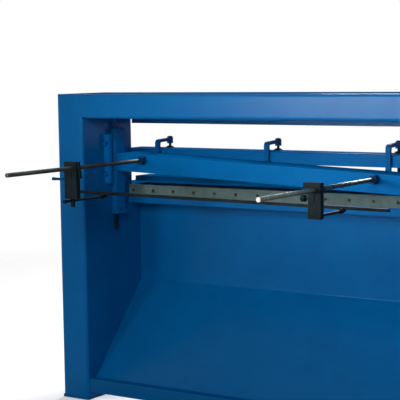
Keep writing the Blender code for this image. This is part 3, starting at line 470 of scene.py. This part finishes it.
# A socket head: a turned outline with a rounded rim, whose inner stations are a hexagon.
def socketHead(centre, axis, values):
    radius, top, k = values["headRadius"], values["headHeight"], values["headRound"]
    half, floor = values["socketHalf"], values["headHeight"] - values["socketDepth"]
    far = 1.0  # out here the hexagon alone sets the radius
    profile = [(0.0, floor), (far, floor, half), (far, top - values["socketRound"], half),
               (half * values["socketFlare"], top), (radius - k * 0.8, top),
               (radius - k * 0.2, top - k * 0.3), (radius, top - k), (radius, 0.0), (0.0, 0.0)]
    return turned(profile, centre, axis, values["headSides"])


# Every point drops by the slope as its x falls from the raised end.
def raked(parts, slope, raisedX):
    down = np.array([0.0, 0.0, slope])
    return [(points - (raisedX - points[:, :1]) * down, faces) for points, faces in parts]


def blades(values):
    slope = math.tan(math.radians(values["rakeDegrees"]))
    for which, body, fall in (("lower", "frame", 0.0), ("upper", "ram", slope)):
        node = f"{which}_blade"
        low, high, middle = boxOf(node)
        faces = (high[1], low[1]) if which == "lower" else (low[1], high[1])
        outward = math.copysign(1.0, faces[0] - faces[1])
        bottom = low[2] + fall * (high[0] - low[0])
        parts, holes, screwZ = bladeParts(high[0], bottom, high[2], *faces, values)
        makePiece(f"{which}Blade", raked(parts, fall, high[0]), "groundSteel", body,
                  values["smoothAngle"], [node])
        seat = faces[0] - outward * (values["boreDepth"] - values["headLift"])
        heads = [socketHead((x, seat, screwZ), (0, outward, 0), values) for x in holes]
        makePiece(f"{which}BladeScrews", raked(heads, fall, high[0]), "screwSteel", body,
                  values["headSmoothAngle"])


blades(bladeValues)
print("blades and their screws made")

nutValues = {
    "seatShare": 0.96,  # of the half width
    "faceShare": 0.97,
    "coneRise": 0.58,  # for each metre outward
    "easing": 0.0003,
    "boreChamfer": 0.10,  # of the height
    "washerShare": 1.22,
    "washerBevel": 0.0004,
    "sides": 36,
    "washerSides": 32,
    "smoothAngle": 30,
}


# A turned hexagon nut whose corners are cut by a cone at both ends, on a round washer.
def hexNut(centre, axis, width, height, bore, washer, values):
    half = width / 2
    corner = half / math.cos(math.pi / 6)
    cone = (corner - half) * values["coneRise"]
    easing, bevel = values["easing"], values["washerBevel"]
    face, chamfer = half * values["faceShare"], height * values["boreChamfer"]
    nut = [(bore, 0.0), (half * values["seatShare"], 0.0), (face, easing),
           (corner, easing + cone, half), (corner, height - cone, half), (face, height),
           (bore + chamfer, height), (bore, height - chamfer), (bore, 0.0)]
    rim = half * values["washerShare"]
    disc = [(bore, 0.0), (rim - bevel, 0.0), (rim, bevel), (rim, washer - easing),
            (rim - bevel, washer), (bore, washer), (bore, 0.0)]
    seat = np.array(centre, float) - axisFrame(axis)[2] * washer
    return [turned(nut, centre, axis, values["sides"]),
            turned(disc, seat, axis, values["washerSides"])]


rodValues = {
    "round": 0.0012,
    "threadLength": 0.034,
    "threadPitch": 0.0025,
    "threadDepth": 0.0012,
    "threadEase": 0.0002,  # the thread's crest lies this far inside the bar's skin
    "overlap": 0.002,
    "endDisc": 0.0012,
    "sink": 0.0001,
    "nutWidth": 0.030,
    "nutEase": 0.0004,
    "washer": 0.0050,
    "sides": 40,
    "threadSides": 28,
    "smoothAngle": 40,
    "finishes": {"left": "drawnSteel", "right": "dullSteel"},
}


# A rod: a turned bar with rounded ends and a thread up to its nut. The bright one, on the left,
# ends in a pale disc, its near-white colour a painted highlight on the rod's end face.
def gaugeRods(values):
    for side, finish in values["finishes"].items():
        low, high, middle = boxOf(f"gauge_rod_{side}")
        x, z = middle[0], middle[2]
        radius = (high[0] - low[0]) / 2
        length = high[1] - low[1] - values["threadLength"]
        tip, inward = (x, high[1], z), (0, -1, 0)
        k, sides, smooth = values["round"], values["sides"], values["smoothAngle"]
        cap = values["endDisc"] if side == "left" else 0.0
        under = cap + values["sink"]
        bar = [(0.0, cap), (radius - k, cap), (radius - k * 0.3, cap + k * 0.3), (radius, cap + k),
               (radius, length - k), (radius - k, length), (0.0, length)]
        disc = [(0.0, 0.0), (radius - k * 0.7, 0.0), (radius - k * 0.1, k * 0.4),
                (radius - k * 0.1, cap + k * 0.9), (radius - k * 1.2, under), (0.0, under)]
        if cap:
            makePiece("gaugeRodEnd", [turned(disc, tip, inward, sides)], "endHighlightSteel", "ram", smooth)
        thread = threaded(radius - values["threadEase"], values["threadDepth"],
                          values["threadPitch"], values["threadLength"] + values["overlap"],
                          (x, low[1], z), (0, 1, 0), values["threadSides"])
        makePiece(f"gaugeRod_{side}", [turned(bar, tip, inward, sides), thread], finish, "ram",
                  smooth, [f"gauge_rod_{side}"])
        low, high, middle = boxOf(f"rod_nut_{side}")
        washer = values["washer"]
        nut = hexNut((x, low[1] + washer, z), (0, 1, 0), values["nutWidth"],
                     high[1] - low[1] - washer, radius + values["nutEase"], washer, nutValues)
        makePiece(f"rodNut_{side}", nut, "nutShadedEnamel", "ram", nutValues["smoothAngle"],
                  [f"rod_nut_{side}"])


plungerValues = {
    "radius": 0.0059,
    "round": 0.0008,
    "threadLength": 0.046,
    "threadPitch": 0.00175,
    "threadDepth": 0.0008,
    "overlap": 0.001,
    "tip": 0.001,  # above the nut
    "nutWidth": 0.019,
    "nutHeight": 0.0050,
    "washer": 0.0012,
    "washerGap": 0.0001,
    "sides": 24,
    "threadSides": 20,
    "smoothAngle": 35,
}


# A plunger: a turned rod with a rounded foot, its thread above, and a nut near its top.
def plungers(values):
    radius, k, washer = values["radius"], values["round"], values["washer"]
    up = (0, 0, 1)
    for side in ("left", "centre", "right"):
        low, high, (x, y, z) = boxOf(f"plunger_{side}")
        plain = high[2] - values["threadLength"] - low[2]
        rod = turned([(0.0, 0.0), (radius - k, 0.0), (radius, k), (radius, plain), (0.0, plain)],
                     (x, y, low[2]), up, values["sides"])
        thread = threaded(radius, values["threadDepth"], values["threadPitch"],
                          values["threadLength"] + values["overlap"],
                          (x, y, low[2] + plain - values["overlap"]), up,
                          values["threadSides"])
        seat = high[2] - values["tip"] - values["nutHeight"] + washer
        nut = hexNut((x, y, seat), up, values["nutWidth"], values["nutHeight"] - washer, radius,
                     washer - values["washerGap"], nutValues)
        makePiece(f"plunger_{side}_turned", [rod, thread, *nut], "oxideAndBlueReflection", "hold_down",
                  values["smoothAngle"], [f"plunger_{side}"])


collarValues = {
    "sink": 0.0037,  # the front bar's highest edge is above the collars' seats
    "rim": 0.0170,
    "shoulder": 0.0022,
    "height": 0.0068,
    "neck": 0.0098,
    "bore": 0.0068,
    "sides": 28,
    "smoothAngle": 30,
}


# Collars that seal the plungers on the front bar: a rim, a cone up to the neck, and a bore.
def plungerCollars(values):
    seat = boxOf("front_bar")[1][2] - values["sink"]
    bore, rim, height = values["bore"], values["rim"], values["height"]
    profile = [(bore, 0.0), (rim, 0.0), (rim, values["shoulder"]), (values["neck"], height),
               (bore, height), (bore, 0.0)]
    middles = [boxOf(f"plunger_{side}")[2] for side in ("left", "centre", "right")]
    parts = [turned(profile, (x, y, seat), (0, 0, 1), values["sides"]) for x, y, z in middles]
    makePiece("plungerCollars", parts, "oxideAndBlueReflection", "ram", values["smoothAngle"])


stopValues = {
    "radius": 0.0079,
    "threadPitch": 0.0020,
    "threadDepth": 0.0011,
    "sides": 24,
    "smoothAngle": 35,
}


# A stop bolt is thread over its whole height.
def stopBolts(values):
    for side in ("left", "right"):
        low, high, (x, y, z) = boxOf(f"stop_bolt_{side}")
        thread = threaded(values["radius"], values["threadDepth"], values["threadPitch"],
                          high[2] - low[2], (x, y, low[2]), (0, 0, 1), values["sides"])
        makePiece(f"stopBolt_{side}", [thread], "oxideAndBlueReflection", "ram", values["smoothAngle"],
                  [f"stop_bolt_{side}"])


gaugeRods(rodValues)
plungers(plungerValues)
plungerCollars(collarValues)
stopBolts(stopValues)
print("rods, nuts, plungers and stop bolts made")

knobValues = {
    "gripLength": 0.016,
    "gripRound": 0.0022,
    "dish": 0.0008,
    "gripSides": 96,
    "flutes": 12,
    "fluteDepth": 0.0008,
    "spikeLength": 0.039,
    "spikeRound": 0.0008,
    "spikeFace": 0.0006,
    "spikeRows": 14,
    "spikeSides": 32,
    "neckShare": 0.74,
    "swell": 1.3,
    "tipStart": 0.88,
    "screwRadius": 0.0039,
    "threadPitch": 0.00125,
    "threadDepth": 0.0006,
    "threadSides": 16,
    "overlap": 0.001,
    "smoothAngle": 35,
}


# A fluted grip: the radius at angle t is the station's less half the flutes' depth *
# (1 - cos(flutes * t)) * the station's share of fluting.
def flutedGrip(radius, origin, axis, values):
    long, k = values["gripLength"], values["gripRound"]
    stations = np.array([(0.0, 0.0, 0), (radius - k, 0.0, 0), (radius - k * 0.3, k * 0.3, 0.6),
                         (radius, k, 1), (radius, long - k, 1),
                         (radius - k * 0.3, long - k * 0.3, 0.6), (radius - k, long, 0),
                         (0.0, long - values["dish"], 0)])
    angle = fullTurn(values["gripSides"])
    cutIn = values["fluteDepth"] * (0.5 - 0.5 * np.cos(values["flutes"] * angle))
    radius = np.maximum(stations[:, :1] - stations[:, 2:] * cutIn, 0.0)
    return aroundAxis(origin, axis, stations[:, 1], radius, angle)


# A spike: its radius swells from the neck as the length's share to a power, and a quarter
# ellipse closes its tip.
def spikeGrip(radius, origin, axis, values):
    share = np.linspace(0.0, 1.0, values["spikeRows"])
    swollen = radius * (values["neckShare"] + (1 - values["neckShare"]) * share ** values["swell"])
    ending = np.clip((share - values["tipStart"]) / (1 - values["tipStart"]), 0, 1)
    swollen = swollen * np.sqrt(1 - ending ** 2)
    face = values["spikeFace"]
    distance = face + share * (values["spikeLength"] - face)
    profile = [(0.0, 0.0), (radius - values["spikeRound"], 0.0), *zip(swollen, distance)]
    return turned(profile, origin, axis, values["spikeSides"])


# A lock screw: a thread in the clamp, and a grip on its outer end.
def lockScrew(side, makeGrip, gripLength, finish, values):
    low, high, (x, y, z) = boxOf(f"lock_screw_{side}")
    start, outward = high[0] - gripLength, (1, 0, 0)
    grip = makeGrip((high[2] - low[2]) / 2, (start, y, z), outward, values)
    thread = threaded(values["screwRadius"], values["threadDepth"], values["threadPitch"],
                      start - low[0] + values["overlap"], (low[0], y, z), outward,
                      values["threadSides"])
    makePiece(f"lockScrew_{side}", [grip, thread], finish, f"lock_{side}", values["smoothAngle"],
              [f"lock_screw_{side}"])


lockScrew("left", flutedGrip, knobValues["gripLength"], "oxideAndBlueReflection", knobValues)
lockScrew("right", spikeGrip, knobValues["spikeLength"], "nutShadedEnamel", knobValues)
print("lock screws made")

gibNutValues = {
    "width": 0.0155,
    "height": 0.0055,
    "boltRadius": 0.0052,
    "washer": 0.0012,
    "washerGap": 0.0001,
    "fromEdge": 0.0122,
    "fromFace": 0.016,
    "fromEnd": 0.038,
}


# Two nuts on each gib, near its ends.
def gibNuts(values):
    for side, sign in (("left", -1), ("right", 1)):
        low, high, middle = boxOf(f"gib_{side}")
        edge = high[0] if sign > 0 else low[0]
        x = edge - sign * values["fromEdge"]
        y = high[1] - values["fromFace"] + values["washer"]
        parts = []
        for z in (low[2] + values["fromEnd"], high[2] - values["fromEnd"]):
            parts += hexNut((x, y, z), (0, 1, 0), values["width"], values["height"],
                            values["boltRadius"], values["washer"] - values["washerGap"],
                            nutValues)
        makePiece(f"gibNuts_{side}", parts, "shadedEnamel", "frame", nutValues["smoothAngle"])


weldValues = {
    "tieSize": 0.0050,
    "bendSize": 0.0030,
    "crossSize": 0.0060,
    "crossDrop": 0.012,
    "crossGaps": (0.001, 0.036),
    "strapSize": 0.0040,
    "strapLift": 0.010,
    "strapGap": 0.001,
    "strapRises": (0.0005, 0.0016),
    "smoothAngle": 60,
}


# Beads where the base ties and the cross beam meet the housings, and at the feet of the straps.
def weldBeads(values):
    wallX = abs(boxOf("side_housing_left")[1][0])
    size, bend = values["tieSize"], values["bendSize"]
    parts = []
    for tie in ("base_tie_front", "base_tie_rear"):
        (_, y0, z0), (_, y1, z1), middle = boxOf(tie)
        for sign in (-1, 1):
            x, inner = sign * wallX, (-sign, 0, 0)
            parts += [bead((x, y0, z1), (x, y1, z1), inner, (0, 0, 1), size),
                      bead((x, y0, z0), (x, y1, z0), inner, (0, 0, -1), size),
                      bead((x, y0, z0), (x, y0, z1), inner, (0, -1, 0), size),
                      bead((x, y1, z0), (x, y1, z1), inner, (0, 1, 0), bend)]
    low, high, middle = boxOf("cross_beam")
    z = high[2] - values["crossDrop"]
    y0, y1 = low[1] + values["crossGaps"][0], high[1] - values["crossGaps"][1]
    parts += [bead((sign * wallX, y0, z), (sign * wallX, y1, z), (-sign, 0, 0), (0, 0, -1),
                   values["crossSize"]) for sign in (-1, 1)]
    makePiece("frameWelds", parts, "blueEnamel", "frame", values["smoothAngle"])
    parts = []
    for side in ("left", "centre", "right"):
        low, high, middle = boxOf(f"hook_strap_{side}")
        z0, z1 = (low[2] + values["strapLift"] + rise for rise in values["strapRises"])
        parts.append(bead((low[0] + values["strapGap"], high[1], z0),
                          (high[0] - values["strapGap"], high[1], z1), (0, 1, 0), (0, 0, 1),
                          values["strapSize"]))
    makePiece("strapWelds", parts, "strapShadedEnamel", "ram", values["smoothAngle"])


gibNuts(gibNutValues)
weldBeads(weldValues)
print("nuts and weld beads made")

floorValues = {
    "radius": 7.0,
    "firstRing": 0.5,
    "rings": 14,
    "sides": 72,
    "fade": (2.4, 5.2),  # distances over which it thins out to the white world
    "colour": (0.90, 0.90, 0.90),
    "roughness": 0.9,
    "gloss": 0.1,
    "glow": 0.35,
}


# The floor is a turned disc: rings at growing radius, closed at the middle.
def makeFloor(values):
    radii = np.linspace(values["firstRing"], values["radius"], values["rings"])
    profile = [(0.0, 0.0), *((radius, 0.0) for radius in radii)]
    points, faces = turned(profile, (0, 0, 0), (0, 0, 1), values["sides"])
    mesh = bpy.data.meshes.new("floor")
    mesh.from_pydata(points, [], faces)
    floor = bpy.data.objects.new("floor", mesh)
    bpy.context.scene.collection.objects.link(floor)
    material, book, shader = newMaterial("floorMatt")
    shader.inputs["Base Color"].default_value = rgb(values["colour"])
    shader.inputs["Roughness"].default_value = values["roughness"]
    shader.inputs["Specular IOR Level"].default_value = values["gloss"]
    seen = book.add("ShaderNodeLightPath").outputs["Is Camera Ray"]
    strength = book.maths("MULTIPLY", seen, values["glow"])
    glow = book.add("ShaderNodeEmission", {"Color": rgb((1.0, 1.0, 1.0)), "Strength": strength})
    lit = book.add("ShaderNodeAddShader", {0: shader.outputs[0], 1: glow.outputs[0]})
    clear = book.add("ShaderNodeBsdfTransparent")
    place = book.add("ShaderNodeTexCoord").outputs["Object"]
    away = book.add("ShaderNodeVectorMath", {0: place}, operation="LENGTH").outputs["Value"]
    blended = book.add("ShaderNodeMixShader", {0: book.ramp(away, values["fade"], (1.0, 0.0)),
                                               1: clear.outputs[0], 2: lit.outputs[0]})
    book.link(blended.outputs[0], book.tree.nodes["Material Output"].inputs["Surface"])
    mesh.materials.append(material)


worldValues = {"seen": 1.0, "ambient": 0.05}


# The world is white to the camera and in reflections, and a faint even fill otherwise.
def makeWorld(values):
    world = bpy.data.worlds.new("studio")
    bpy.context.scene.world = world
    world.use_nodes = True
    world.node_tree.nodes.clear()
    book = NodeBook(world.node_tree)
    ray = book.add("ShaderNodeLightPath").outputs
    seen = book.maths("MAXIMUM", ray["Is Camera Ray"], ray["Is Glossy Ray"])
    seen = book.maths("MAXIMUM", seen, ray["Is Transmission Ray"])
    strength = book.ramp(seen, (0.0, 1.0), (values["ambient"], values["seen"]))
    background = book.add("ShaderNodeBackground", {"Color": rgb((1.0, 1.0, 1.0)),
                                                   "Strength": strength})
    book.add("ShaderNodeOutputWorld", {"Surface": background.outputs[0]})


lampValues = {
    "keyLamp": {"place": (1.6, 4.2, 2.1), "aim": (0.0, 0.0, 0.9), "size": (0.45, 0.45),
                "power": 26.0, "spread": 180},
    "sheenLamp": {"place": (1.5, 4.2, 1.5), "aim": (-0.60, 0.05, 1.36), "size": (1.3, 0.7),
                  "power": 6.7, "spread": 33},
    "fillLamp": {"place": (-1.5, 3.9, 1.5), "aim": (0.0, 0.0, 0.9), "size": (1.2, 1.2),
                 "power": 14.0, "spread": 180},
    "nearLamp": {"place": (-0.7, 2.5, 2.15), "aim": (-0.2, 0.0, 0.8), "size": (0.9, 0.9),
                 "power": 33.0, "spread": 180},
    "frontLamp": {"place": (0.8, -3.9, 3.2), "aim": (0.0, 0.0, 0.8), "size": (2.2, 1.8),
                  "power": 220.0, "spread": 180},
}


# A lamp's or camera's matrix, from its own right, up and back.
def frameMatrix(right, up, back, place):
    matrix = np.eye(4)
    matrix[:3] = np.stack([right, up, back, place], 1)
    return Matrix(matrix.tolist())


# A matrix that looks from place to aim with the world's up kept up.
def lookAt(place, aim):
    back = np.array(place) - np.array(aim)
    back /= np.linalg.norm(back)
    right = np.cross([0.0, 0.0, 1.0], back)
    right /= np.linalg.norm(right)
    return frameMatrix(right, np.cross(back, right), back, place)


def makeLamps(lamps):
    for name, values in lamps.items():
        light = bpy.data.lights.new(name, "AREA")
        light.shape = "RECTANGLE"
        light.size, light.size_y = values["size"]
        light.energy = values["power"]
        light.spread = math.radians(values["spread"])
        lamp = bpy.data.objects.new(name, light)
        bpy.context.scene.collection.objects.link(lamp)
        lamp.matrix_world = lookAt(values["place"], values["aim"])


cameraValues = {
    "place": (-2.6267, 4.1819, 1.3277),
    "yaw": 33.71,
    "pitch": 5.67,
    "roll": 0.82,
    "lens": 120.15,
    "sensor": 36.0,
    "clipEnd": 60.0,
}


# Two square directions, both swung by an angle from the first towards the second.
def swung(first, second, angle):
    return (math.cos(angle) * first + math.sin(angle) * second,
            math.cos(angle) * second - math.sin(angle) * first)


# The photographer's camera: turned by the yaw from straight at the rods' side, tipped down by the
# pitch, then rolled.
def makeCamera(values):
    yaw, pitch, roll = (math.radians(values[key]) for key in ("yaw", "pitch", "roll"))
    ahead = np.array([math.sin(yaw), -math.cos(yaw), 0.0])
    right = np.array([-math.cos(yaw), -math.sin(yaw), 0.0])
    down = np.array([0.0, 0.0, -1.0])
    ahead, down = swung(ahead, down, pitch)
    right, down = swung(right, down, roll)
    camera = bpy.data.objects.new("photoCamera", bpy.data.cameras.new("photoCamera"))
    camera.data.lens = values["lens"]
    camera.data.sensor_width = values["sensor"]
    camera.data.clip_end = values["clipEnd"]
    bpy.context.scene.collection.objects.link(camera)
    camera.matrix_world = frameMatrix(right, -down, -ahead, values["place"])
    bpy.context.scene.camera = camera


makeFloor(floorValues)
makeWorld(worldValues)
makeLamps(lampValues)
makeCamera(cameraValues)
bpy.context.scene.view_settings.view_transform = "Standard"
print("stage, lamps and camera set")
